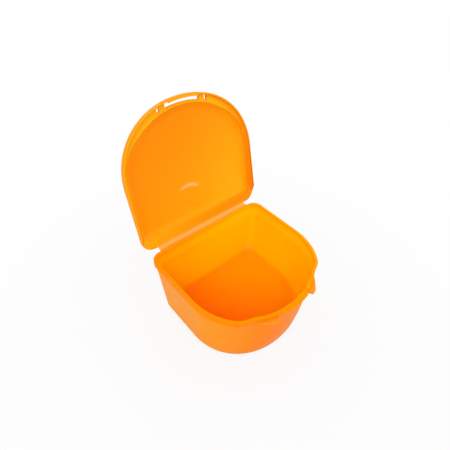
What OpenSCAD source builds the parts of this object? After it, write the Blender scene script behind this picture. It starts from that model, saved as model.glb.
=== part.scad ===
// Denture case: a D-shaped tub and a shallow lid, moulded in one piece and joined along
// their straight backs by a thin living hinge. It is drawn standing open.
// +Z is up, the front with the catch faces -Y and the hinge is at +Y. The origin is the
// middle of the tub's flat underside. Every outline is the same D, drawn further in or out.

/* [Tub] */
// Width of the tub across its rim
case_w = 80; // [70:1:95]
// Depth of the tub from its back edge to its front edge
case_d = 70; // [62:1:84]
// Height of the tub from the table to its rim
tub_h = 39.8; // [32:1:55]
// Straight length of each side, from the back edge to where the round front starts
side_run = 34.6; // [28:0.5:40]
// Squareness of the round front, where 2 is an ellipse
front_power = 2.11; // [2:0.01:2.6]
// Radius of the two back corners at the rim
corner_r = 6; // [5.5:0.1:9]
// Radius of the two back corners at the table
base_corner_r = 6.4; // [3:0.1:8]
// Thickness of the walls
wall = 1.6; // [1.2:0.1:2]
// Thickness of the floor
floor_t = 1.6; // [1.2:0.1:2.4]
// How far the side and front walls lean in from the rim to the table
side_lean = 3.85; // [2:0.1:5]
// How far the back wall leans in from the rim to the table
back_lean = 5.1; // [2:0.1:6]
// Radius of the outer edge of the underside
base_r = 4.2; // [2.5:0.1:6]
// Radius where the inner walls meet the floor
floor_r = 4.5; // [2:0.1:6]

/* [Rim] */
// Height of the thicker band round the rim
band_h = 3.2; // [2.4:0.1:5]
// How far the band stands out from the wall below it
band_step = 0.7; // [0.3:0.1:1.2]
// Size of the softened edges of the rim
rim_edge = 0.35; // [0.15:0.05:0.6]
// How far the front of the rim is set back between the side curves
front_recess = 1.95; // [1:0.1:2.6]
// Height above the table where the set back front starts to leave the plain curve
recess_foot = 11; // [9:1:20]

/* [Catch] */
// Half the width of the lip that the lid snaps under
lip_half_w = 9.5; // [7:0.1:12]
// How far the lip stands out from the set back front
lip_reach = 1.55; // [1.2:0.05:2]
// Thickness of the lip
lip_t = 0.8; // [0.6:0.05:1.2]
// How far the bead on the lid hooks past the lip
snap_bite = 0.25; // [0.15:0.05:0.4]
// Distance from each end of the lip to the thumb ledge beside it
notch_gap = 2.3; // [0.2:0.1:4]
// Width of the flat front of each thumb ledge beside the notch
ledge_w = 2.4; // [1.6:0.1:6]
// Length over which a thumb ledge runs back into the wall
ledge_fade = 8.5; // [4:0.1:10]
// Thickness of the thumb ledges
ledge_t = 1.8; // [1.2:0.1:2.5]
// How far a thumb ledge stands out past the rim's plain curve
ledge_reach = 1.25; // [0.5:0.05:1.3]

/* [Lid] */
// Thickness of the lid
lid_t = 1.2; // [1:0.05:1.6]
// Depth of the lid's dish above the rim
dish_depth = 3.2; // [2:0.1:5]
// Width of the dish's rounded slope along the sides
slope_w = 4.5; // [3.5:0.1:6]
// How far the lid's skirt reaches down over the band
skirt_h = 1.8; // [1.7:0.1:3.2]
// Thickness of the skirt
skirt_t = 0.85; // [0.8:0.05:1.4]
// Gap between the skirt and the band
skirt_gap = 0.25; // [0.15:0.05:0.5]
// Gap between the closed lid and the rim
close_gap = 0.2; // [0.1:0.05:0.4]
// Width of the flat flange at the front, from the skirt's inner face to the dish
front_flange = 3.7; // [3.4:0.1:5]
// Width of the flat flange along the hinge
back_flange = 5; // [4:0.1:6]
// Width of the windows in the front flange
window_w = 2.5; // [1.8:0.1:2.8]
// Half the length of the long window over the catch
window_half = 10.2; // [8:0.1:12]
// Distance of the two small windows from the middle
small_window_x = 14.4; // [13:0.1:17]
// Length of each small window
small_window_l = 1.5; // [1:0.1:2.5]
// Radius of the round gate mark inside the lid
gate_r = 7; // [2:0.1:8]
// Distance of the gate mark from the back edge of the tub
gate_from_back = 17.5; // [14:0.5:40]

/* [Hinge] */
// Angle that the lid stands open
open_angle = 108; // [70:1:150]
// Half the length of the hinge web
web_half = 32.4; // [24:0.1:32.6]
// Length of the web between tub and lid when it is laid flat
web_flat = 2.5; // [2:0.1:3.2]
// Thickness of the web
web_t = 0.45; // [0.3:0.05:0.6]
// How far the hinge ledge stands out behind the tub's back edge
hinge_reach = 1.1; // [0.6:0.1:1.4]
// Thickness of the hinge ledge
hinge_t = 1.6; // [1.4:0.1:2.2]

/* [Hidden] */

// The outline: half width, back, start of the round front and its depth
half_w = case_w / 2;
back_y = case_d / 2;
front_start = back_y - side_run;
front_b = front_start + case_d / 2;
// Steps round each back corner, along each side and round the front
corner_steps = 6;
side_steps = 5;
front_steps = 54;
// The smallest corner that an inner outline keeps
least_corner = 1.2;
// Angles along the round front, from its side end, where a set back piece starts and is full
recess_from = 40;
recess_full = 56;
flange_from = 12;
flange_full = 58;
plate_full = 38;
// Steps of the rounded edges
edge_steps = 4;
dish_steps = 6;
fade_steps = 6;

// Heights on the tub
band_low = tub_h - band_h;
inner_band = band_low - wall;

// The closed lid, measured from the rim
skirt_in = -skirt_gap;
skirt_out = -skirt_gap - skirt_t;
lid_edge_r = 0.45;
// The skirt ends on the back corners, this far from the back edge, to clear the tub there
skirt_end = 3.6;
skirt_fade = 4;
least_skirt = 0.05;
// The dish's slope starts this far in from the tub's edge at the sides
dish_side = 0.9;
dish_front = front_flange - skirt_gap;
dish_back = back_flange - hinge_reach;
// The slope's width at the front and the back, as a share of its width at the sides
end_slope = 0.9;
// The outside of the slope starts and ends a little further out than its inside
slope_shift = 0.9;
plate_shift = 0.35;

// The catch and the thumb ledges
lip_in = front_recess - lip_reach;
lip_drop = 0.1;
bead_in = lip_in + snap_bite;
bead_t = 0.75;
ledge_top = tub_h - skirt_h - 0.5;
ledge_round = 1.05;
// How far what is added to a wall reaches into it
root = 0.5 * wall;

// The hinge web is a strip that bends to an arc. Folded shut, it is half a circle
fold_r = web_flat / PI;
bend = 180 - open_angle;
bend_r = web_flat / (bend * PI / 180);
hinge_y = back_y + hinge_reach;
// The lid turns about the line where its own rim plane meets the tub's
pivot_y = hinge_y + (bend_r - fold_r) * tan(bend / 2);

function sgn(v) = v < 0 ? -1 : 1;
function clamp01(v) = max(0, min(1, v));
function smooth(v) = let (c = clamp01(v)) c * c * (3 - 2 * c);
function mix(a, b, k) = a + (b - a) * k;

// A point of the round front at angle t, 180 at the left side and 360 at the right
function front_pt(t, inset) = [
    (half_w - inset) * sgn(cos(t)) * pow(abs(cos(t)), 2 / front_power),
    front_start - (front_b - inset) * pow(abs(sin(t)), 2 / front_power)
];

// How far an angle of the front is from its nearer side end
function side_angle(t) = min(t - 180, 360 - t);

// The D at a height, anticlockwise from above. side, back and front say how far in it lies,
// and r is the radius of its back corners. Between the angles from and full the inset changes
// from side to front
function d_ring(side, back, front, z, r, from = recess_from, full = recess_full) =
    let (
        cr = max(least_corner, r),
        cx = half_w - side - cr,
        cy = back_y - back - cr
    )
    concat(
        [for (i = [0 : side_steps - 1]) [half_w - side, mix(front_start, cy, i / side_steps), z]],
        [for (i = [0 : corner_steps])
            [cx + cr * cos(90 * i / corner_steps), cy + cr * sin(90 * i / corner_steps), z]],
        [for (i = [0 : corner_steps])
            [-cx - cr * sin(90 * i / corner_steps), cy + cr * cos(90 * i / corner_steps), z]],
        [for (i = [1 : side_steps - 1]) [side - half_w, mix(cy, front_start, i / side_steps), z]],
        [for (i = [0 : front_steps - 1])
            let (
                t = 180 + 180 * i / front_steps,
                k = smooth((side_angle(t) - from) / (full - from)),
                p = front_pt(t, mix(side, front, k))
            ) [p[0], p[1], z]]
    );

// The front edge of the D at x, set in by inset
function front_y(x, inset) = front_start - (front_b - inset)
    * pow(1 - pow(min(1, abs(x) / (half_w - inset)), front_power), 1 / front_power);

// How far the rim is set back at x
function recess_at(x) = front_recess * smooth(
    (acos(pow(abs(x) / half_w, front_power / 2)) - recess_from) / (recess_full - recess_from));

function middle(ring) = [for (a = [0 : 2]) sum([for (p = ring) p[a]]) / len(ring)];
function sum(v, i = 0) = i == len(v) ? 0 : v[i] + sum(v, i + 1);

// A closed solid through rings of points. Each flat end is a fan about the ring's middle
module loft(rings) {
    n = len(rings[0]);
    m = len(rings);
    low = m * n;
    high = low + 1;
    polyhedron(
        points = concat([for (ring = rings) each ring], [middle(rings[0]), middle(rings[m - 1])]),
        faces = concat(
            [for (i = [0 : n - 1]) [low, i, (i + 1) % n]],
            [for (k = [0 : m - 2], i = [0 : n - 1])
                let (j = (i + 1) % n) [k * n + i, (k + 1) * n + i, (k + 1) * n + j]],
            [for (k = [0 : m - 2], i = [0 : n - 1])
                let (j = (i + 1) % n) [k * n + i, (k + 1) * n + j, k * n + j]],
            [for (i = [0 : n - 1]) [high, (m - 1) * n + (i + 1) % n, (m - 1) * n + i]]
        ),
        convexity = 6
    );
}

// A bar along the front: profile(x) gives its section at x as points of inset and height,
// clockwise when seen from -X with the front on the right
module front_bar(xs, profile) {
    loft([for (x = xs) [for (p = profile(x)) [x, front_y(x, p[0]), p[1]]]]);
}

// How far the walls lean in at a height, for the side or the back
function lean(total, z) = band_step + (total - band_step) * (band_low - z) / band_low;

// How much of the front's set back is left at a height
function recess(z) = front_recess * smooth((z - recess_foot) / (band_low - recess_foot));

// Outer and inner rings of the tub's wall at a height
function wall_ring(z, inward) =
    let (s = lean(side_lean, z) + inward, b = lean(back_lean, z) + inward)
    d_ring(s, b, s + recess(z), z, mix(base_corner_r, corner_r, z / tub_h) - inward);

function band_ring(inset, z) = d_ring(inset, inset, inset + front_recess, z, corner_r - inset);

module tub_shell() {
    base = [for (i = [0 : edge_steps])
        let (a = 90 * i / edge_steps)
        wall_ring(base_r * (1 - cos(a)), base_r * (1 - sin(a)))];
    outer = [for (i = [0 : fade_steps])
        wall_ring(mix(recess_foot, band_low - band_step, i / fade_steps), 0)];
    rim = [
        band_ring(0, band_low),
        band_ring(0, tub_h - rim_edge),
        band_ring(rim_edge, tub_h),
        band_ring(wall - rim_edge, tub_h),
        band_ring(wall, tub_h - rim_edge),
        band_ring(wall, inner_band + wall)
    ];
    inner = [for (i = [0 : fade_steps])
        wall_ring(mix(inner_band - band_step, recess_foot, i / fade_steps), wall)];
    fillet = [for (i = [0 : edge_steps])
        let (a = 90 * i / edge_steps)
        wall_ring(floor_t + floor_r * (1 - sin(a)), wall + floor_r * (1 - cos(a)))];
    loft(concat(base, outer, rim, inner, fillet));
}

// The lip that the lid's bead snaps under, thinner towards its ends and its edge
module catch_lip() {
    top = tub_h - lip_drop;
    front_bar(
        [for (i = [-6 : 6]) lip_half_w * i / 6],
        function(x) let (
            k = sqrt(1 - pow(x / (lip_half_w * 1.05), 6)),
            tip = mix(front_recess, lip_in, k)
        ) [
            [front_recess + root, top - lip_t],
            [front_recess + root, top],
            [tip + 0.4 * lip_t, top],
            [tip, top - 0.45 * lip_t],
            [tip + 0.1 * lip_t, top - lip_t]
        ]
    );
}

// One of the two ledges that leave a notch for the thumb between them
module thumb_ledge() {
    start = lip_half_w + notch_gap;
    full = start + ledge_w;
    steps = 4;
    xs = concat(
        [for (i = [0 : steps]) start + ledge_round * (1 - cos(90 * i / steps))],
        [for (i = [1 : steps]) mix(start + ledge_round, full, i / steps)],
        [for (i = [1 : steps]) mix(full, full + ledge_fade, i / steps)]
    );
    front_bar(
        xs,
        function(x) let (
            into = clamp01((start + ledge_round - x) / ledge_round),
            fade = clamp01((x - full) / ledge_fade),
            face = recess_at(x) + band_step,
            edge = mix(-ledge_reach, face + 0.1, fade) + ledge_round * (1 - sqrt(1 - into * into)),
            soft = mix(0.3 * ledge_t, 0.15, fade)
        ) [
            [face + root, ledge_top - ledge_t - root],
            [face + root, ledge_top],
            [edge + soft, ledge_top],
            [edge, ledge_top - soft],
            [edge, ledge_top - ledge_t + soft],
            [edge + soft, ledge_top - ledge_t]
        ]
    );
}

// The bar behind the back edge that carries the web
module hinge_ledge() {
    translate([-web_half, back_y - wall + rim_edge, tub_h - hinge_t])
        cube([2 * web_half, hinge_reach + wall - rim_edge, hinge_t]);
}

module tub() {
    color("darkorange") union() {
        tub_shell();
        hinge_ledge();
        catch_lip();
        for (side = [0, 1]) mirror([side, 0, 0]) thumb_ledge();
    }
}

// A ring of the closed lid; drop says how much of the skirt hangs below height h
function lid_ring(side, back, front, h, drop = 0, full = flange_full) =
    let (ring = d_ring(side, back, front, tub_h + h, corner_r - side, flange_from, full))
    [for (p = ring)
        let (k = clamp01((back_y - p[1] - skirt_end) / skirt_fade))
        [p[0], p[1], p[2] - (drop == 0 ? 0 : max(least_skirt, drop * k))]];

// A ring of the dish's slope, from its foot at k = 0 to the plate at k = 90 degrees
function slope_ring(k, foot_shift, top_shift, h) =
    let (a = 1 - cos(k), shift = mix(foot_shift, top_shift, a), w = slope_w * a)
    lid_ring(
        dish_side + w - shift,
        dish_back + w * end_slope - shift,
        dish_front + w * end_slope - shift,
        h + dish_depth * sin(k),
        full = mix(flange_full, plate_full, a)
    );

module lid_shell() {
    low = close_gap;
    top = close_gap + lid_t;
    drop = skirt_h + close_gap;
    side_edge = 0.3 * skirt_t;
    inside = [for (i = [dish_steps : -1 : 0]) slope_ring(90 * i / dish_steps, 0, 0, low)];
    skirt = [
        lid_ring(skirt_in, skirt_in, skirt_in, low),
        lid_ring(skirt_in, skirt_in, skirt_in, low, drop - side_edge),
        lid_ring(skirt_in - side_edge, skirt_in - side_edge, skirt_in - side_edge, low, drop),
        lid_ring(skirt_out + side_edge, side_edge - hinge_reach, skirt_out + side_edge, low, drop),
        lid_ring(skirt_out, -hinge_reach, skirt_out, low, drop - side_edge)
    ];
    edge = [for (i = [0 : 3])
        let (a = 90 * i / 3, in = lid_edge_r * (1 - cos(a)))
        lid_ring(skirt_out + in, in - hinge_reach, skirt_out + in, top - lid_edge_r * (1 - sin(a)))];
    outside = [for (i = [0 : dish_steps]) slope_ring(90 * i / dish_steps, slope_shift, plate_shift, top)];
    loft(concat(inside, skirt, edge, outside));
}

// The bead inside the skirt that hooks under the catch lip
module snap_bead() {
    mid = tub_h - lip_drop - lip_t - 0.1 - bead_t / 2;
    front_bar(
        [for (i = [-5 : 5]) (lip_half_w - 0.3) * i / 5],
        function(x) [
            [skirt_in - 0.5, mid + bead_t / 2],
            [skirt_in - 0.5, mid - bead_t / 2],
            [bead_in - 0.35, mid - bead_t / 2],
            [bead_in, mid + 0.1],
            [bead_in - 0.35, mid + bead_t / 2]
        ]
    );
}

// A window through the front flange between two places along it
module window(from, to) {
    steps = 8;
    xs = [for (i = [0 : steps]) mix(from, to, i / steps)];
    translate([0, 0, tub_h - 0.5 * skirt_h])
        linear_extrude(dish_depth + skirt_h)
            polygon(concat(
                [for (x = xs) [x, front_y(x, skirt_in + 0.15)]],
                [for (i = [steps : -1 : 0]) [xs[i], front_y(xs[i], skirt_in + window_w)]]
            ));
}

// A low round pad where the plastic entered the mould, with the stub of the gate
module gate_mark() {
    pad_h = 0.25;
    stub_r = 0.8;
    stub_h = 0.35;
    translate([0, back_y - gate_from_back, tub_h + close_gap + dish_depth]) rotate([180, 0, 0]) {
        translate([0, 0, -root / 2])
            cylinder(r1 = gate_r, r2 = gate_r - pad_h, h = pad_h + root / 2, $fn = 64);
        translate([0, 0, pad_h / 2]) cylinder(r1 = stub_r, r2 = stub_r * 0.7, h = stub_h, $fn = 24);
    }
}

module lid_closed() {
    difference() {
        lid_shell();
        window(-window_half, window_half);
        for (side = [-1, 1])
            window(side * small_window_x - small_window_l / 2, side * small_window_x + small_window_l / 2);
    }
    snap_bead();
    gate_mark();
}

module lid() {
    color("orange")
        translate([0, pivot_y, tub_h])
            rotate([-open_angle, 0, 0])
                translate([0, -pivot_y, -tub_h])
                    lid_closed();
}

// The thin web, bent as the open lid bends it. It starts on the hinge ledge's end face and
// ends on the lid's back edge
module living_hinge() {
    color("sandybrown")
        translate([-web_half, hinge_y, tub_h - fold_r + bend_r])
            rotate([0, 90, 0])
                rotate_extrude(angle = bend, $fn = 96)
                    translate([bend_r - web_t / 2, 0]) square([web_t, 2 * web_half]);
}

tub();
lid();
living_hinge();
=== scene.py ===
from math import acos, cos, pi, radians, sin, sqrt, tan

import bmesh
import bpy
from mathutils import Matrix, Vector


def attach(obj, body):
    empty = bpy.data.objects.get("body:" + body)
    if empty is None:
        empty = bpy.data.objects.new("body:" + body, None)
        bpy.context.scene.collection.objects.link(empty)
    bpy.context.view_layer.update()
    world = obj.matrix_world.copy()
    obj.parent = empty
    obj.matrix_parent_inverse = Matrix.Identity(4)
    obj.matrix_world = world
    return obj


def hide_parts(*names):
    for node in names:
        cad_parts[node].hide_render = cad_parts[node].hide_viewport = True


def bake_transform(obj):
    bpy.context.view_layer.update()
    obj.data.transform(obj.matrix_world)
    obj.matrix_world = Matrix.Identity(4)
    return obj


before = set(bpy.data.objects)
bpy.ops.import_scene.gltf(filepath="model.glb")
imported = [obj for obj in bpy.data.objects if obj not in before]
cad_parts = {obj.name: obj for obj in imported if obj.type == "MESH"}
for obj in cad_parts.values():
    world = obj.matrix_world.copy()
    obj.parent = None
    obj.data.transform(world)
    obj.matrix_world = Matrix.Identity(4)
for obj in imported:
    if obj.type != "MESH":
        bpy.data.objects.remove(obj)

scene = bpy.context.scene
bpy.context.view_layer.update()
MM = 0.001

# Sizes of the case in millimetres, as in the part's source
CASE_W, CASE_D, TUB_H = 80, 70, 39.8
SIDE_RUN, FRONT_POWER = 34.6, 2.11
CORNER_R, BASE_CORNER_R = 6, 6.4
WALL, FLOOR_T = 1.6, 1.6
SIDE_LEAN, BACK_LEAN = 3.85, 5.1
BASE_R, FLOOR_R = 4.2, 4.5
BAND_H, BAND_STEP, RIM_EDGE = 3.2, 0.7, 0.35
FRONT_RECESS, RECESS_FOOT = 1.95, 11
LIP_HALF_W, LIP_REACH, LIP_T, LIP_DROP = 9.5, 1.55, 0.8, 0.1
SNAP_BITE, BEAD_T, BEAD_GAP, BEAD_SHORTER = 0.25, 0.75, 0.1, 0.3
NOTCH_GAP, LEDGE_W, LEDGE_FADE = 2.3, 2.4, 8.5
LEDGE_T, LEDGE_REACH, LEDGE_ROUND, LEDGE_CLEAR = 1.8, 1.25, 1.05, 0.5
LID_T, DISH_DEPTH, SLOPE_W = 1.2, 3.2, 4.5
SKIRT_H, SKIRT_T, SKIRT_GAP, CLOSE_GAP = 1.8, 0.85, 0.25, 0.2
SKIRT_END, SKIRT_FADE, LEAST_SKIRT, LID_EDGE_R = 3.6, 4, 0.05, 0.45
FRONT_FLANGE, BACK_FLANGE, DISH_SIDE = 3.7, 5, 0.9
END_SLOPE, SLOPE_SHIFT, PLATE_SHIFT = 0.9, 0.9, 0.35
WINDOW_W, WINDOW_HALF, SMALL_WINDOW_X, SMALL_WINDOW_L = 2.5, 10.2, 14.4, 1.5
WINDOW_EDGE = 0.15
GATE_R, GATE_FROM_BACK = 7, 17.5
OPEN_ANGLE, WEB_HALF, WEB_FLAT, WEB_T = 108, 32.4, 2.5, 0.45
HINGE_REACH, HINGE_T = 1.1, 1.6
# Angles along the round front where a set back starts and where it is full
RECESS_ANGLES, FLANGE_ANGLES, PLATE_FULL = (40, 56), (12, 58), 38

# Where the plastic is painted pale, in millimetres, and how pale it is there, from 0 to 1. On the
# tub and the lid this paleness is painted highlight
WEB_PALE_AND_HIGHLIGHT, LEDGE_HIGHLIGHT, CREASE_HIGHLIGHT, SPOT_HIGHLIGHT = 0.7, 0.1, 0.2, 0.3
PALE_EDGE, PALE_FADE, PALE_TOP = 0.3, 0.5, 1
PALE_BACK = 0.4 * WALL
CREASE_Y, CREASE_W, CREASE_RUN, CREASE_TOP = 28.2, 1.2, 16, 3.5
CORNER_SPOT, CORNER_SPOT_R = (33.5, 28.5, 6), 4
# The painted highlight arc beside the gate: its centre on the closed lid, radius, width, the
# direction of its middle and the shares of the radius over which its ends fade
ARC_CENTRE, ARC_R, ARC_W = (-4.2, 18.9), 7.9, 1.6
ARC_TOWARDS, ARC_FADE = (0.1, -1), (0.7, 0.86)

# What follows from the sizes
HALF_W, BACK_Y = CASE_W / 2, CASE_D / 2
FRONT_START = BACK_Y - SIDE_RUN
FRONT_B = FRONT_START + CASE_D / 2
BAND_LOW = TUB_H - BAND_H
INNER_BAND = BAND_LOW - WALL
LEDGE_TOP = TUB_H - SKIRT_H - LEDGE_CLEAR
LEDGE_LOW = LEDGE_TOP - LEDGE_T
LIP_TOP = TUB_H - LIP_DROP
BEND = radians(180 - OPEN_ANGLE)
FOLD_R, BEND_R = WEB_FLAT / pi, WEB_FLAT / BEND
HINGE_Y = BACK_Y + HINGE_REACH
PIVOT_Y = HINGE_Y + (BEND_R - FOLD_R) * tan(BEND / 2)
# Places along x where one kind of rim gives way to the next
LEDGE_START = LIP_HALF_W + NOTCH_GAP
LEDGE_FULL = LEDGE_START + LEDGE_W
LEDGE_END = LEDGE_FULL + LEDGE_FADE
GIVE_WAY = 1.5

# How finely the moulding is drawn
SIDE_N, CORNER_N, FRONT_N = 14, 12, 150
ZONE_N, RIM_N, EDGE_N, DISH_N = 44, 6, 8, 12
LOW_N, WALL_N, INNER_N = 4, 12, 16
SKIRT_N, LID_EDGE_N, WINDOW_N = 4, 6, 16
LEAST_CORNER, CAP_INSET = 1.0, 0.88
# Stations along the back: evenly between the web's ends, and close together at each end
WEB_N, WEB_MARGIN = 8, 1.0
WEB_END_STEPS = (WEB_MARGIN, 0.6, 0.3, 0.12, 0, -0.12, -0.3, -0.8)
# Stations this close together at the ends of the lip and of the ledges
FINE_STEP = 0.12

# The value "inside" tells the material what a point is on: the outer surface, the rim or the
# flange, the inner walls or the dish's slope, or the floor or the lid's plate
ON_OUTER, ON_RIM, ON_WALL, ON_FLOOR = 0, 0.3, 1, 2
# Values in between, on what lies between those
ON_SKIRT, ON_SKIRT_TIP, ON_RIM_TURN, ON_WEB, ON_INNER_RIM = 0.1, 0.2, 0.5, 0.5, 0.7
# The value from which a point is wholly the colour of the floor
DEEP_FULL = 1.6


def clamp01(v):
    return max(0.0, min(1.0, v))


def smooth(v):
    c = clamp01(v)
    return c * c * (3 - 2 * c)


def mix(a, b, k):
    return a + (b - a) * k


# Rounds the corners of a path of (across, height, radius) points
def rounded(corners, steps=6):
    path = [Vector(corners[0][:2])]
    for i in range(1, len(corners) - 1):
        here, before, after = (Vector(corners[j][:2]) for j in (i, i - 1, i + 1))
        r = corners[i][2]
        to_before = (before - here).normalized()
        to_after = (after - here).normalized()
        for s in range(steps + 1):
            k = s / steps
            near, far = here + to_before * r, here + to_after * r
            path.append(mix(mix(near, here, k), mix(here, far, k), k))
    path.append(Vector(corners[-1][:2]))
    return path


# The same path as count points, evenly spaced
def spread(path, count):
    lengths = [0.0]
    for i in range(1, len(path)):
        lengths.append(lengths[-1] + (path[i] - path[i - 1]).length)
    points, i = [], 0
    for n in range(count):
        at = lengths[-1] * n / (count - 1)
        while i < len(path) - 2 and lengths[i + 1] < at:
            i += 1
        span = lengths[i + 1] - lengths[i]
        k = 0 if span == 0 else clamp01((at - lengths[i]) / span)
        points.append(path[i].lerp(path[i + 1], k))
    return points


# The D-shaped outline is walked as stations: where a point sits on it, and along what
def make_stations():
    walk = [("right", i / SIDE_N) for i in range(SIDE_N)]
    walk += [("right corner", 90 * i / CORNER_N) for i in range(CORNER_N + 1)]
    half = [WEB_HALF + d for d in WEB_END_STEPS]
    half += [WEB_HALF * i / WEB_N for i in range(WEB_N - 1, 0, -1)]
    walk += [("back", x) for x in half] + [("back", 0)] + [("back", -x) for x in reversed(half)]
    walk += [("left corner", 90 + 90 * i / CORNER_N) for i in range(CORNER_N + 1)]
    walk += [("left", i / SIDE_N) for i in range(1, SIDE_N)]
    angles = {round(180 + 180 * i / FRONT_N, 3) for i in range(FRONT_N)}
    near_ends = [end + FINE_STEP * i for end in (LIP_HALF_W, LEDGE_START) for i in range(-6, 11)]
    for x in near_ends:
        a = 180 / pi * acos((x / HALF_W) ** (FRONT_POWER / 2))
        angles |= {round(180 + a, 3), round(360 - a, 3)}
    return walk + [("front", t) for t in sorted(angles)]


STATIONS = make_stations()


# How far the outline at a front station's angle has come from the side's inset to the front's
def into_front(v, angles):
    start, full = angles
    return smooth((min(v - 180, 360 - v) - start) / (full - start))


# A station's place when the outline is drawn in by side, back and front
def place(station, side, back, front, r, angles):
    kind, v = station
    cr = max(LEAST_CORNER, r)
    cx, cy = HALF_W - side - cr, BACK_Y - back - cr
    if kind == "right":
        return HALF_W - side, mix(FRONT_START, cy, v)
    if kind == "left":
        return side - HALF_W, mix(cy, FRONT_START, v)
    if kind == "back":
        return v * min(1, cx / (WEB_HALF + WEB_MARGIN)), BACK_Y - back
    a = radians(v)
    if kind != "front":
        return (cx if kind == "right corner" else -cx) + cr * cos(a), cy + cr * sin(a)
    inset = mix(side, front, into_front(v, angles))
    x = (HALF_W - inset) * (1 if cos(a) > 0 else -1) * abs(cos(a)) ** (2 / FRONT_POWER)
    return x, FRONT_START - (FRONT_B - inset) * abs(sin(a)) ** (2 / FRONT_POWER)


# A ring of the outline at one height
def d_ring(side, back, front, z, r, angles=RECESS_ANGLES):
    return [Vector((*place(s, side, back, front, r, angles), z)) for s in STATIONS]


# How far the outside of the wall lies in from the rim, at a height
def wall_in(total, z, low=BAND_LOW - BAND_STEP, high=BAND_LOW):
    lean = BAND_STEP + (total - BAND_STEP) * (BAND_LOW - z) / BAND_LOW
    return mix(lean, 0, smooth((z - low) / (high - low)))


def recess(z):
    return FRONT_RECESS * smooth((z - RECESS_FOOT) / (BAND_LOW - RECESS_FOOT))


# Ring of the tub's outer surface, or with inner of its inner one, set in further by inward
def wall_ring(z, inward=0.0, inner=False):
    if inner:
        low, high = INNER_BAND - BAND_STEP, INNER_BAND + WALL
        side, back = (wall_in(t, z, low, high) + inward for t in (SIDE_LEAN, BACK_LEAN))
    else:
        side, back = (wall_in(t, z) + inward for t in (SIDE_LEAN, BACK_LEAN))
    r = mix(BASE_CORNER_R, CORNER_R, z / TUB_H) - inward
    return d_ring(side, back, side + recess(z), z, r)


# The rim's outside as a path of (out, height), from ZONE_LOW to the top. Four kinds of it are
# drawn with as many points: plain, and with a thumb ledge, the catch lip or the hinge ledge.
# A corner is given as (out, height, radius)
ZONE_LOW = 34.0
turn = [radians(90 * i / (RIM_N - 1)) for i in range(RIM_N)]
RIM = [Vector((-RIM_EDGE * (1 - cos(a)), TUB_H - RIM_EDGE * (1 - sin(a)))) for a in turn]
RIM_LOW = TUB_H - RIM_EDGE
PLAIN = spread([Vector((0, ZONE_LOW)), Vector((0, RIM_LOW))], ZONE_N) + RIM
LEDGE_OUT = FRONT_RECESS + LEDGE_REACH
LEDGE = spread(rounded([
    (0, ZONE_LOW, 0), (0, LEDGE_LOW, 0.35), (LEDGE_OUT, LEDGE_LOW, 0.6),
    (LEDGE_OUT, LEDGE_TOP, 0.5), (0, LEDGE_TOP, 0.25), (0, RIM_LOW, 0)]), ZONE_N) + RIM
LIP = spread(rounded([
    (0, ZONE_LOW, 0), (0, LIP_TOP - LIP_T, 0.25), (LIP_REACH - 0.08, LIP_TOP - LIP_T + 0.06, 0.2),
    (LIP_REACH, LIP_TOP - 0.4 * LIP_T, 0.12), (LIP_REACH - 0.35, LIP_TOP, 0.22), (0, LIP_TOP, 0)]),
    ZONE_N)
rise = [i / (RIM_N - 1) for i in range(RIM_N)]
LIP += [Vector((-RIM_EDGE * k, mix(LIP_TOP, TUB_H, k ** 2))) for k in rise]
HINGE_LOW, HINGE_FLAT = TUB_H - HINGE_T, HINGE_REACH - 0.3
HINGE = spread(rounded([
    (0, ZONE_LOW, 0), (0, HINGE_LOW, 0.3), (HINGE_REACH, HINGE_LOW, 0.25),
    (HINGE_REACH, TUB_H, 0.2), (HINGE_FLAT, TUB_H, 0)]), ZONE_N)
HINGE += [Vector((mix(HINGE_FLAT, -RIM_EDGE, (i + 1) / RIM_N), TUB_H)) for i in range(RIM_N)]

# Radii that round the ends of what stands out along the rim
WEB_END_R, LIP_END_R, LEDGE_END_R, BEAD_END_R = 0.25, 0.5, 0.35, 0.4


def end_round(gap, r):
    c = clamp01(gap / r)
    return sqrt(1 - (1 - c) ** 2)


# Level j of a rim on which nothing stands out
def flat(profile, j):
    return PLAIN[j] if j >= ZONE_N else Vector((0, profile[j][1]))


# How the outer rim's level j is shaped at a station: without and with what stands out there,
# and how much of that has come in
def rim_shape(station, j):
    kind, v = station
    if kind == "back":
        x = abs(v)
        if x <= WEB_HALF:
            return flat(HINGE, j), HINGE[j], end_round(WEB_HALF - x, WEB_END_R)
        base = mix(flat(HINGE, j), PLAIN[j], clamp01(x - WEB_HALF))
        return base, base, 0
    if kind == "front":
        x = (HALF_W - FRONT_RECESS) * abs(cos(radians(v))) ** (2 / FRONT_POWER)
        if x <= LIP_HALF_W:
            thin = sqrt(1 - 0.5 * (x / LIP_HALF_W) ** 6)
            return flat(LIP, j), LIP[j], thin * end_round(LIP_HALF_W - x, LIP_END_R)
        if x < LEDGE_START:
            base = mix(flat(LIP, j), flat(LEDGE, j), (x - LIP_HALF_W) / NOTCH_GAP)
            return base, base, 0
        if x <= LEDGE_END:
            into = clamp01((LEDGE_START + LEDGE_ROUND - x) / LEDGE_ROUND)
            cut = LEDGE_ROUND * (1 - sqrt(1 - into * into)) / LEDGE_OUT
            fade = clamp01((x - LEDGE_FULL) / LEDGE_FADE)
            share = (1 - cut) * (1 - fade) * end_round(x - LEDGE_START, LEDGE_END_R)
            return flat(LEDGE, j), LEDGE[j], share
        if x <= LEDGE_END + GIVE_WAY:
            base = mix(flat(LEDGE, j), PLAIN[j], (x - LEDGE_END) / GIVE_WAY)
            return base, base, 0
    return PLAIN[j], PLAIN[j], 0


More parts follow.
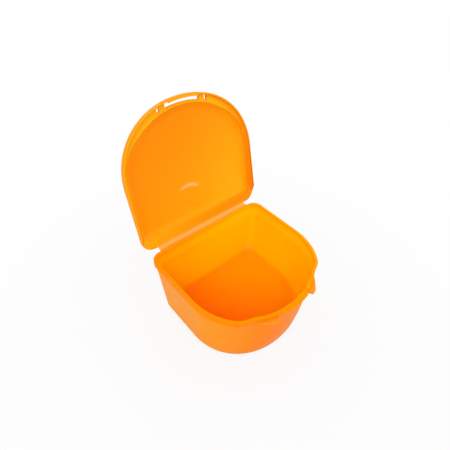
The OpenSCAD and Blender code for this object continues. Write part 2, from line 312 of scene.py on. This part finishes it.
# The outer rim's level j at one station
def rim_point(station, j):
    base, shape, share = rim_shape(station, j)
    out, z = mix(base, shape, share)
    side, back = wall_in(SIDE_LEAN, z), wall_in(BACK_LEAN, z)
    front = side + recess(z)
    if shape == LEDGE[j] and out > 0:
        inset = mix(side, front, into_front(station[1], RECESS_ANGLES))
        out = out / LEDGE_OUT * (inset + LEDGE_REACH)
    r = mix(BASE_CORNER_R, CORNER_R, z / TUB_H) + out
    x, y = place(station, side - out, back - out, front - out, r, RECESS_ANGLES)
    return Vector((x, y, z))


# A closed mesh through rings, each end closed by one more ring and a flat face
def loft(name, rings, shares):
    n = len(rings[0])
    for at, ring in ((0, rings[0]), (len(rings) + 1, rings[-1])):
        middle = sum(ring, Vector()) / n
        rings.insert(at, [middle.lerp(p, CAP_INSET) for p in ring])
    shares = [shares[0]] + shares + [shares[-1]]
    verts = [p for ring in rings for p in ring]
    levels = [s for s in shares for _ in range(n)]
    faces = []
    for k in range(len(rings) - 1):
        for i in range(n):
            j = (i + 1) % n
            faces.append((k * n + i, k * n + j, (k + 1) * n + j, (k + 1) * n + i))
    last = (len(rings) - 1) * n
    faces += [tuple(reversed(range(n))), tuple(range(last, last + n))]
    mesh = bpy.data.meshes.new(name)
    mesh.from_pydata([p * MM for p in verts], [], faces)
    bm = bmesh.new()
    bm.from_mesh(mesh)
    bmesh.ops.recalc_face_normals(bm, faces=bm.faces)
    bm.to_mesh(mesh)
    bm.free()
    inside = mesh.attributes.new("inside", "FLOAT", "POINT")
    inside.data.foreach_set("value", levels)
    obj = bpy.data.objects.new(name, mesh)
    scene.collection.objects.link(obj)
    return obj


# A value from 0 to 1 on each point, where the plastic is painted pale: painted highlight on the
# tub and the lid, and the web pale all over
def set_pale_and_highlight(obj, pale_at):
    pale = obj.data.attributes.new("pale", "FLOAT", "POINT")
    pale.data.foreach_set("value", [clamp01(pale_at(v.co / MM)) for v in obj.data.vertices])


def finish_mesh(obj, angle=50):
    for polygon in obj.data.polygons:
        polygon.use_smooth = True
    obj.data.set_sharp_from_angle(angle=radians(angle))


# 1 along the web, and less past its ends
def across_web(p):
    return smooth(WEB_HALF + WEB_MARGIN - abs(p.x))


# Painted highlight on top of the hinge ledge, most where the web starts, a little on the thumb
# ledges and in the inside's far corner
def tub_painted_highlight(p):
    if abs(p.x) < LEDGE_END and LEDGE_LOW - PALE_EDGE < p.z < LEDGE_TOP + PALE_EDGE:
        return LEDGE_HIGHLIGHT * smooth((front_y(p.x, FRONT_RECESS - PALE_EDGE) - p.y) / PALE_FADE)
    back = smooth((p.y - BACK_Y + PALE_BACK) / (PALE_BACK + HINGE_REACH))
    top = smooth((p.z - TUB_H + PALE_TOP) / PALE_FADE)
    spot = SPOT_HIGHLIGHT * smooth(1 - (p - Vector(CORNER_SPOT)).length / CORNER_SPOT_R)
    return WEB_PALE_AND_HIGHLIGHT * across_web(p) * back * top + spot


# Painted highlight at the lid's back edge, where the web starts, and along the left of the crease
# before it
def lid_painted_highlight(p):
    crease = CREASE_HIGHLIGHT * smooth(1 - abs(p.y - CREASE_Y) / CREASE_W)
    crease *= smooth(-p.x / CREASE_RUN)
    crease *= smooth(TUB_H + CREASE_TOP - p.z)
    return WEB_PALE_AND_HIGHLIGHT * across_web(p) * smooth((p.y - BACK_Y) / HINGE_REACH) + crease


# Over this height below the band its colour takes over from the wall's
BAND_FADE = 0.8


def make_tub():
    rings, inside = [], []

    def add(ring, share):
        rings.append(ring)
        inside.append(share)

    for i in range(EDGE_N + 1):
        a = radians(90 * i / EDGE_N)
        add(wall_ring(BASE_R * (1 - cos(a)), BASE_R * (1 - sin(a))), ON_OUTER)
    heights = [mix(BASE_R, RECESS_FOOT, i / LOW_N) for i in range(1, LOW_N + 1)]
    heights += [mix(RECESS_FOOT, ZONE_LOW, i / WALL_N) for i in range(1, WALL_N)]
    for z in heights:
        add(wall_ring(z), ON_OUTER)
    for j in range(ZONE_N + RIM_N):
        add([rim_point(s, j) for s in STATIONS], ON_OUTER)
    for a in reversed(turn):
        inset = WALL - RIM_EDGE * (1 - cos(a))
        z = TUB_H - RIM_EDGE * (1 - sin(a))
        add(d_ring(inset, inset, inset + FRONT_RECESS, z, CORNER_R - inset), ON_RIM_TURN)
    for i in range(1, INNER_N + 1):
        z = mix(RIM_LOW, RECESS_FOOT, i / INNER_N)
        add(wall_ring(z, WALL, inner=True), mix(ON_INNER_RIM, ON_WALL, i / INNER_N))
    fillet_top = FLOOR_T + FLOOR_R
    for i in range(1, LOW_N):
        add(wall_ring(mix(RECESS_FOOT, fillet_top, i / LOW_N), WALL, inner=True), ON_WALL)
    for i in range(EDGE_N + 1):
        a = radians(90 * i / EDGE_N)
        z = FLOOR_T + FLOOR_R * (1 - sin(a))
        share = mix(ON_WALL, ON_FLOOR, (i + 1) / (EDGE_N + 1))
        add(wall_ring(z, WALL + FLOOR_R * (1 - cos(a)), inner=True), share)
    obj = loft("tub_moulding", rings, inside)
    # The band round the rim is told from the outer wall below it
    for vertex, item in zip(obj.data.vertices, obj.data.attributes["inside"].data):
        if item.value == ON_OUTER:
            z = vertex.co.z / MM
            item.value = ON_RIM * smooth((z - BAND_LOW + BAND_FADE) / BAND_FADE)
    return obj


# A ring of the closed lid. drop says how much of the skirt hangs below height h, and bead
# how far a point at the front stands in
def lid_ring(side, back, front, h, drop=0.0, full=FLANGE_ANGLES[1], bead=0.0):
    ring = []
    for s in STATIONS:
        into = 0.0
        if bead and s[0] == "front":
            x = HALF_W * abs(cos(radians(s[1]))) ** (2 / FRONT_POWER)
            into = bead * end_round(LIP_HALF_W - BEAD_SHORTER - x, BEAD_END_R)
        x, y = place(s, side + into, back, front + into, CORNER_R - side, (FLANGE_ANGLES[0], full))
        k = clamp01((BACK_Y - y - SKIRT_END) / SKIRT_FADE)
        ring.append(Vector((x, y, TUB_H + h - (max(LEAST_SKIRT, drop * k) if drop else 0))))
    return ring


# A ring of the dish's slope, from its foot where k is 0 to the plate where k is a quarter turn
def slope_ring(k, foot_shift, top_shift, h):
    a = 1 - cos(k)
    shift, w = mix(foot_shift, top_shift, a), SLOPE_W * a
    side = DISH_SIDE + w - shift
    back = BACK_FLANGE - HINGE_REACH + w * END_SLOPE - shift
    front = FRONT_FLANGE - SKIRT_GAP + w * END_SLOPE - shift
    full = mix(FLANGE_ANGLES[1], PLATE_FULL, a)
    return lid_ring(side, back, front, h + DISH_DEPTH * sin(k), full=full)


# A round ring about the gate, with as many points as the outline
def gate_ring(r, h, like):
    centre = Vector((0, BACK_Y - GATE_FROM_BACK, TUB_H + h))
    ring = []
    for p in like:
        away = Vector((p[0] - centre[0], p[1] - centre[1], 0)).normalized()
        ring.append(centre + away * r)
    return ring


# The gate mark as (radius, height): the stub, its foot on the pad and the pad's edge
GATE_MARK = ((0.25, 0.55), (0.5, 0.53), (0.66, 0.42), (0.76, 0.28), (0.95, 0.26), (3, 0.25),
             (GATE_R - 1, 0.25), (GATE_R - 0.4, 0.25), (GATE_R - 0.16, 0.2), (GATE_R - 0.04, 0.1),
             (GATE_R, 0))
# The bead as (depth from its middle in bead heights, share of how far it stands in)
BEAD = ((-0.55, 0), (-0.5, 0.3), (-0.42, 0.6), (-0.2, 0.95), (0, 1),
        (0.2, 0.9), (0.42, 0.6), (0.5, 0.3), (0.55, 0))
# Insets at side, back and front of a ring across the flat flange, which carries its colour
FLANGE_RING = (0.4, 1.2, 1.2)
# Rings this far from the corner of flange and skirt keep it crisp
CRISP = 0.2
# The share of the slope's width that belongs to its foot
SLOPE_FOOT = 0.4


def make_lid():
    rings, inside = [], []

    def add(ring, share):
        rings.append(ring)
        inside.append(share)

    low, top, drop = CLOSE_GAP, CLOSE_GAP + LID_T, SKIRT_H + CLOSE_GAP
    plate = slope_ring(pi / 2, 0, 0, low)
    under = low + DISH_DEPTH
    for r, h in GATE_MARK:
        add(gate_ring(r, under - h, plate), ON_FLOOR)
    for i in range(DISH_N, -1, -1):
        k = pi / 2 * i / DISH_N
        a = 1 - cos(k)
        foot = mix(ON_RIM, ON_WALL, smooth(a / SLOPE_FOOT))
        add(slope_ring(k, 0, 0, low), foot + smooth((a - SLOPE_FOOT) / (1 - SLOPE_FOOT)))
    add(lid_ring(*FLANGE_RING, low), ON_RIM)
    edge = 0.3 * SKIRT_T
    skirt_in, skirt_out = -SKIRT_GAP, -SKIRT_GAP - SKIRT_T
    near = skirt_in + CRISP
    add(lid_ring(near, near, near, low), ON_RIM)
    add(lid_ring(skirt_in, skirt_in, skirt_in, low, CRISP), ON_RIM)
    bead_mid = LIP_DROP + LIP_T + BEAD_GAP + BEAD_T / 2 + CLOSE_GAP
    bite = FRONT_RECESS - LIP_REACH + SNAP_BITE - skirt_in
    for d, b in BEAD:
        ring = lid_ring(skirt_in, skirt_in, skirt_in, low, bead_mid + d * BEAD_T, bead=bite * b)
        add(ring, ON_RIM)
    for i in range(SKIRT_N + 1):
        a = radians(90 * i / SKIRT_N)
        s = skirt_in - edge * (1 - cos(a))
        add(lid_ring(s, s, s, low, drop - edge * (1 - sin(a))), ON_SKIRT_TIP)
    for i in range(SKIRT_N + 1):
        a = radians(90 * i / SKIRT_N)
        s = edge * (1 - sin(a))
        out, down = skirt_out + s, drop - edge * (1 - cos(a))
        add(lid_ring(out, s - HINGE_REACH, out, low, down), ON_SKIRT)
    for i in range(LID_EDGE_N + 1):
        a = radians(90 * i / LID_EDGE_N)
        s = LID_EDGE_R * (1 - cos(a))
        out, h = skirt_out + s, top - LID_EDGE_R * (1 - sin(a))
        add(lid_ring(out, s - HINGE_REACH, out, h), ON_OUTER)
    for i in range(DISH_N + 1):
        add(slope_ring(pi / 2 * i / DISH_N, SLOPE_SHIFT, PLATE_SHIFT, top), ON_OUTER)
    return loft("lid_moulding", rings, inside)


# The front edge of the outline at x, set in by inset
def front_y(x, inset):
    across = min(1, abs(x) / (HALF_W - inset))
    return FRONT_START - (FRONT_B - inset) * (1 - across ** FRONT_POWER) ** (1 / FRONT_POWER)


# Cuts a window through the closed lid's front flange
def cut_window(obj, start, end):
    xs = [mix(start, end, i / WINDOW_N) for i in range(WINDOW_N + 1)]
    outline = [(x, front_y(x, WINDOW_EDGE - SKIRT_GAP)) for x in xs]
    outline += [(x, front_y(x, WINDOW_W - SKIRT_GAP)) for x in reversed(xs)]
    n = len(outline)
    z0, z1 = TUB_H - 0.5 * SKIRT_H, TUB_H + DISH_DEPTH + SKIRT_H
    verts = [Vector((x, y, z)) * MM for z in (z0, z1) for x, y in outline]
    faces = [tuple(reversed(range(n))), tuple(range(n, 2 * n))]
    faces += [(i, (i + 1) % n, n + (i + 1) % n, n + i) for i in range(n)]
    mesh = bpy.data.meshes.new("window")
    mesh.from_pydata(verts, [], faces)
    cutter = bpy.data.objects.new("window", mesh)
    scene.collection.objects.link(cutter)
    cut = obj.modifiers.new("window", "BOOLEAN")
    cut.operation = "DIFFERENCE"
    cut.solver = "EXACT"
    cut.object = cutter
    bpy.context.view_layer.update()
    done = obj.evaluated_get(bpy.context.evaluated_depsgraph_get())
    result = bpy.data.meshes.new_from_object(done)
    obj.modifiers.remove(cut)
    obj.data = result
    bpy.data.objects.remove(cutter)
    bpy.data.meshes.remove(mesh)


# Turns what was drawn closed to where the open lid is
PIVOT = Matrix.Translation(Vector((0, PIVOT_Y, TUB_H)) * MM)
OPENED = PIVOT @ Matrix.Rotation(radians(-OPEN_ANGLE), 4, "X") @ PIVOT.inverted()


# The thin web, an arc from the hinge ledge to the lid, thinnest half way
WEB_THINNING = 0.22


def make_web():
    arc_n, edge_n = 28, 5
    centre = Vector((0, HINGE_Y, TUB_H - FOLD_R + BEND_R))
    rings = []
    for i in range(arc_n + 1):
        a = BEND * i / arc_n
        half_t = 0.5 * WEB_T * (1 - WEB_THINNING * sin(pi * i / arc_n))
        section = []
        for side, turn_from in ((1, 0), (-1, 180)):
            for s in range(edge_n + 1):
                b = radians(turn_from + 90 - 180 * s / edge_n)
                section.append((side * (WEB_HALF - half_t) + half_t * cos(b), half_t * sin(b)))
        ring = []
        for x, out in section:
            r = BEND_R + out
            ring.append(centre + Vector((x, r * sin(a), -r * cos(a))))
        rings.append(ring)
    return loft("hinge_web", rings, [ON_WEB] * len(rings))


tub = make_tub()
set_pale_and_highlight(tub, tub_painted_highlight)
finish_mesh(tub)
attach(tub, "tub_body")
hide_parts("tub")

lid = make_lid()
cut_window(lid, -WINDOW_HALF, WINDOW_HALF)
for side in (-1, 1):
    middle = side * SMALL_WINDOW_X
    cut_window(lid, middle - SMALL_WINDOW_L / 2, middle + SMALL_WINDOW_L / 2)
set_pale_and_highlight(lid, lid_painted_highlight)
lid.data.transform(OPENED)
finish_mesh(lid)
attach(lid, "lid_body")
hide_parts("lid")

web = make_web()
# The web is painted pale all over
set_pale_and_highlight(web, lambda p: WEB_PALE_AND_HIGHLIGHT)
finish_mesh(web)
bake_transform(web)
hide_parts("living_hinge")


# The plastic's surface: slow swirls, fine grain, and light that scatters inside it
FLOW_SCALE, GRAIN_SCALE = 26.0, 1500.0
LEAST_TINT, MOST_TINT = 0.96, 1.04
LEAST_ROUGH, MOST_ROUGH = 0.2, 0.4
GRAIN_STRENGTH, GRAIN_DEPTH = 0.12, 0.00012
SCATTER, SCATTER_RADIUS, SCATTER_SCALE = 0.35, (1.0, 0.55, 0.1), 0.0025
OUTER_GLOSS, INNER_GLOSS = 0.04, 0.015
# The colour of the painted highlights, and of the pale web
PALE_AND_HIGHLIGHT = (252, 186, 105)


# A colour as the renderer takes it, from its levels on screen
def seen(*levels):
    linear = [((c / 255 + 0.055) / 1.055) ** 2.4 if c > 10 else c / 255 / 12.92 for c in levels]
    return (*linear, 1)


# Moulded plastic, with a colour for each value of "inside". These colours are painted light and
# shade: the inner walls are painted lighter for light that shines through the plastic, and the
# tub's floor deeper for shade. Each colour has a lit copy, painted light and shade towards one
# side: the outer surface's is reached towards outer_along and the others towards lit_along, each
# between two distances in millimetres. With inner_gloss, the gloss goes over to that at the rim.
# With arc, the lid's painted highlight arc is painted too
def plastic(name, outer, outer_lit, rim, rim_lit, wall, wall_lit, floor, floor_lit,
            outer_along, outer_range, lit_along, lit_range, gloss, inner_gloss=None, arc=False):
    mat = bpy.data.materials.new(name)
    mat.use_nodes = True
    t = mat.node_tree
    b = t.nodes["Principled BSDF"]

    def node(kind, **inputs):
        n = t.nodes.new(kind)
        for key, value in inputs.items():
            n.inputs[key.replace("_", " ")].default_value = value
        return n

    def step(value, low, high):
        n = node("ShaderNodeMapRange", From_Min=low, From_Max=high)
        n.interpolation_type = "SMOOTHSTEP"
        t.links.new(value, n.inputs["Value"])
        return n.outputs["Result"]

    def blend(a, c, share):
        n = t.nodes.new("ShaderNodeMix")
        n.data_type = "RGBA"
        for socket, color in ((n.inputs[6], a), (n.inputs[7], c)):
            if isinstance(color, tuple):
                socket.default_value = seen(*color)
            else:
                t.links.new(color, socket)
        t.links.new(share, n.inputs[0])
        return n.outputs[2]

    def math(kind, a, c):
        n = t.nodes.new("ShaderNodeMath")
        n.operation = kind
        t.links.new(a, n.inputs[0])
        t.links.new(c, n.inputs[1])
        return n.outputs[0]

    def vector(kind, a, c=(0, 0, 0)):
        n = t.nodes.new("ShaderNodeVectorMath")
        n.operation = kind
        n.inputs[1].default_value = c
        t.links.new(a, n.inputs[0])
        return n

    where = node("ShaderNodeTexCoord")
    inside, pale = node("ShaderNodeAttribute"), node("ShaderNodeAttribute")
    inside.attribute_name, pale.attribute_name = "inside", "pale"
    share = inside.outputs["Fac"]

    # Painted light and shade: a colour goes over to its lit copy towards one side
    def towards(direction, reach):
        far = vector("DOT_PRODUCT", where.outputs["Object"], Vector(direction).normalized())
        return step(far.outputs["Value"], reach[0] * MM, reach[1] * MM)

    # How far each colour has gone over to its lit copy, painted light and shade
    lit = towards(lit_along, lit_range)
    color = blend(outer, outer_lit, towards(outer_along, outer_range))
    color = blend(color, blend(rim, rim_lit, lit), step(share, ON_OUTER, ON_RIM))
    # The inner walls' colour, painted lighter for light that shines through the plastic
    color = blend(color, blend(wall, wall_lit, lit), step(share, ON_RIM, ON_WALL))
    # The colour of the floor and the lid's plate; on the tub's floor it is painted shade
    deep = step(share, ON_WALL, DEEP_FULL)
    color = blend(color, blend(floor, floor_lit, lit), deep)
    # Painted pale: painted highlight on tub and lid, and the pale web
    color = blend(color, PALE_AND_HIGHLIGHT, pale.outputs["Fac"])
    # The painted highlight arc beside the gate, on the lid's plate
    if arc:
        centre = OPENED @ (Vector((*ARC_CENTRE, TUB_H + CLOSE_GAP + DISH_DEPTH)) * MM)
        direction = OPENED.to_3x3() @ Vector((*ARC_TOWARDS, 0))
        away = vector("SUBTRACT", where.outputs["Object"], centre).outputs["Vector"]
        far = vector("LENGTH", away).outputs["Value"]
        ahead = vector("DOT_PRODUCT", away, direction).outputs["Value"]
        r, w = ARC_R * MM, ARC_W * MM
        ring = math("MULTIPLY", step(far, r - w, r), step(far, r + w, r))
        bow = math("MULTIPLY", ring, step(ahead, ARC_FADE[0] * r, ARC_FADE[1] * r))
        color = blend(color, PALE_AND_HIGHLIGHT, math("MULTIPLY", bow, deep))

    # Slow swirls where the melt flowed, and a fine grain
    flow = node("ShaderNodeTexNoise", Scale=FLOW_SCALE, Detail=1.0)
    grain = node("ShaderNodeTexNoise", Scale=GRAIN_SCALE, Detail=2.0)
    for n in (flow, grain):
        t.links.new(where.outputs["Object"], n.inputs["Vector"])
    tint = node("ShaderNodeMapRange", To_Min=LEAST_TINT, To_Max=MOST_TINT)
    t.links.new(flow.outputs["Fac"], tint.inputs["Value"])
    shade = node("ShaderNodeHueSaturation")
    t.links.new(color, shade.inputs["Color"])
    t.links.new(tint.outputs["Result"], shade.inputs["Value"])
    t.links.new(shade.outputs["Color"], b.inputs["Base Color"])

    rough = node("ShaderNodeMapRange", To_Min=LEAST_ROUGH, To_Max=MOST_ROUGH)
    t.links.new(flow.outputs["Fac"], rough.inputs["Value"])
    t.links.new(rough.outputs["Result"], b.inputs["Roughness"])
    bump = node("ShaderNodeBump", Strength=GRAIN_STRENGTH, Distance=GRAIN_DEPTH)
    t.links.new(grain.outputs["Fac"], bump.inputs["Height"])
    t.links.new(bump.outputs["Normal"], b.inputs["Normal"])

    b.inputs["Subsurface Weight"].default_value = SCATTER
    b.inputs["Subsurface Radius"].default_value = SCATTER_RADIUS
    b.inputs["Subsurface Scale"].default_value = SCATTER_SCALE
    b.inputs["Specular IOR Level"].default_value = gloss
    if inner_gloss is not None:
        change = node("ShaderNodeMapRange", From_Max=ON_RIM, To_Min=gloss, To_Max=inner_gloss)
        t.links.new(share, change.inputs["Value"])
        t.links.new(change.outputs["Result"], b.inputs["Specular IOR Level"])
    return mat


# Painted light and shade: the inner walls' lighter colours, the tub's deeper floor and each lit
# copy stand in for how light falls on and through the plastic
OUTER_LIGHT = dict(outer_along=(1, -0.6, 0), outer_range=(-30, 8))
TUB_COLORS = dict(
    outer=(252, 151, 12), outer_lit=(252, 130, 4), rim=(252, 135, 0), rim_lit=(252, 160, 0),
    wall=(253, 176, 0), wall_lit=(253, 213, 0), floor=(254, 100, 0), floor_lit=(254, 167, 0),
    lit_along=(2.1, 1, 0), lit_range=(-42, 48), **OUTER_LIGHT)
LID_COLORS = dict(
    outer=(252, 145, 12), outer_lit=(252, 145, 12), rim=(253, 180, 16), rim_lit=(253, 146, 6),
    wall=(253, 154, 5), wall_lit=(253, 166, 5), floor=(253, 144, 5), floor_lit=(253, 175, 8),
    lit_along=(0.63, 0, -0.78), lit_range=(-85, -10), **OUTER_LIGHT)
tub.data.materials.append(
    plastic("tub_plastic", gloss=OUTER_GLOSS, inner_gloss=INNER_GLOSS, **TUB_COLORS))
lid.data.materials.append(plastic("lid_plastic", gloss=OUTER_GLOSS, arc=True, **LID_COLORS))
web.data.materials.append(plastic("web_plastic", gloss=INNER_GLOSS, **TUB_COLORS))


# Camera, at the photograph's angle
CAM_AZ, CAM_EL, CAM_ROLL = -45.78, 43.02, 5.83
CAM_DISTANCE, CAM_ACROSS, CAM_UP = 177.18, 12.93, -19.32
AIM_Z = 40
FOCAL_PIXELS, IMAGE_PIXELS, SENSOR = 329.88, 450, 36
az, el, roll = radians(CAM_AZ), radians(CAM_EL), radians(CAM_ROLL)
back = Vector((sin(az) * cos(el), -cos(az) * cos(el), sin(el)))
level = Vector((cos(az), sin(az), 0))
above = back.cross(level)
right = cos(roll) * level + sin(roll) * above
up = -sin(roll) * level + cos(roll) * above
camera_data = bpy.data.cameras.new("camera")
camera_data.sensor_width = SENSOR
camera_data.lens = SENSOR * FOCAL_PIXELS / IMAGE_PIXELS
camera_data.clip_start = 0.005
camera_data.clip_end = 50
camera = bpy.data.objects.new("camera", camera_data)
scene.collection.objects.link(camera)
pose = Matrix((right, up, back)).transposed().to_4x4()
eye = Vector((0, 0, AIM_Z)) - right * CAM_ACROSS - up * CAM_UP + back * CAM_DISTANCE
pose.translation = eye * MM
camera.matrix_world = pose
scene.camera = camera

# Light
scene.view_settings.view_transform = "Standard"
AMBIENT = 0.95
world = bpy.data.worlds.new("studio")
scene.world = world
world.use_nodes = True
nodes, links = world.node_tree.nodes, world.node_tree.links
nodes.clear()
world_out = nodes.new("ShaderNodeOutputWorld")
world_mix = nodes.new("ShaderNodeMixShader")
rays = nodes.new("ShaderNodeLightPath")
soft_light = nodes.new("ShaderNodeBackground")
soft_light.inputs["Strength"].default_value = AMBIENT
white = nodes.new("ShaderNodeBackground")
for background in (soft_light, white):
    background.inputs["Color"].default_value = (1, 1, 1, 1)
links.new(rays.outputs["Is Camera Ray"], world_mix.inputs[0])
links.new(soft_light.outputs[0], world_mix.inputs[1])
links.new(white.outputs[0], world_mix.inputs[2])
links.new(world_mix.outputs[0], world_out.inputs[0])


def lamp(name, at, target, size, power):
    data = bpy.data.lights.new(name, "AREA")
    data.shape = "DISK"
    data.size = size
    data.energy = power
    obj = bpy.data.objects.new(name, data)
    scene.collection.objects.link(obj)
    obj.location = at
    obj.rotation_euler = (Vector(target) - Vector(at)).to_track_quat("-Z", "Y").to_euler()


lamp("key", (-0.45, -0.35, 0.8), (0, 0, 0.03), 0.6, 2.6)
lamp("fill", (0.6, -0.35, 0.5), (0, 0, 0.06), 0.5, 0.4)
lamp("rear", (0.1, 0.6, 0.6), (0, 0, 0.05), 0.5, 0.5)

# Floor: white, and it keeps the object's shadow near the object
FLOOR_SIZE, FLOOR_LEVEL, FLOOR_ROUGH = 16, 0.7, 0.9
SHADOW_NEAR, SHADOW_FAR = 0.06, 0.22
KEEP_WHITE = 0.86
bpy.ops.mesh.primitive_plane_add(size=FLOOR_SIZE, location=(0, 0, 0))
floor = bpy.context.object
floor.name = "floor"
pale = bpy.data.materials.new("floor_white")
pale.use_nodes = True
nodes, links = pale.node_tree.nodes, pale.node_tree.links
surface = nodes["Principled BSDF"]
surface.inputs["Base Color"].default_value = (FLOOR_LEVEL, FLOOR_LEVEL, FLOOR_LEVEL, 1)
surface.inputs["Roughness"].default_value = FLOOR_ROUGH
glow = nodes.new("ShaderNodeEmission")
floor_mix = nodes.new("ShaderNodeMixShader")
rays = nodes.new("ShaderNodeLightPath")
where = nodes.new("ShaderNodeTexCoord")
reach = nodes.new("ShaderNodeVectorMath")
reach.operation = "LENGTH"
spread_out = nodes.new("ShaderNodeMapRange")
spread_out.interpolation_type = "SMOOTHSTEP"
spread_out.inputs["From Min"].default_value = SHADOW_NEAR
spread_out.inputs["From Max"].default_value = SHADOW_FAR
spread_out.inputs["To Min"].default_value = KEEP_WHITE
both = nodes.new("ShaderNodeMath")
both.operation = "MULTIPLY"
links.new(where.outputs["Object"], reach.inputs[0])
links.new(reach.outputs["Value"], spread_out.inputs["Value"])
links.new(spread_out.outputs["Result"], both.inputs[0])
links.new(rays.outputs["Is Camera Ray"], both.inputs[1])
links.new(both.outputs[0], floor_mix.inputs[0])
links.new(surface.outputs[0], floor_mix.inputs[1])
links.new(glow.outputs[0], floor_mix.inputs[2])
links.new(floor_mix.outputs[0], nodes["Material Output"].inputs[0])
floor.data.materials.append(pale)
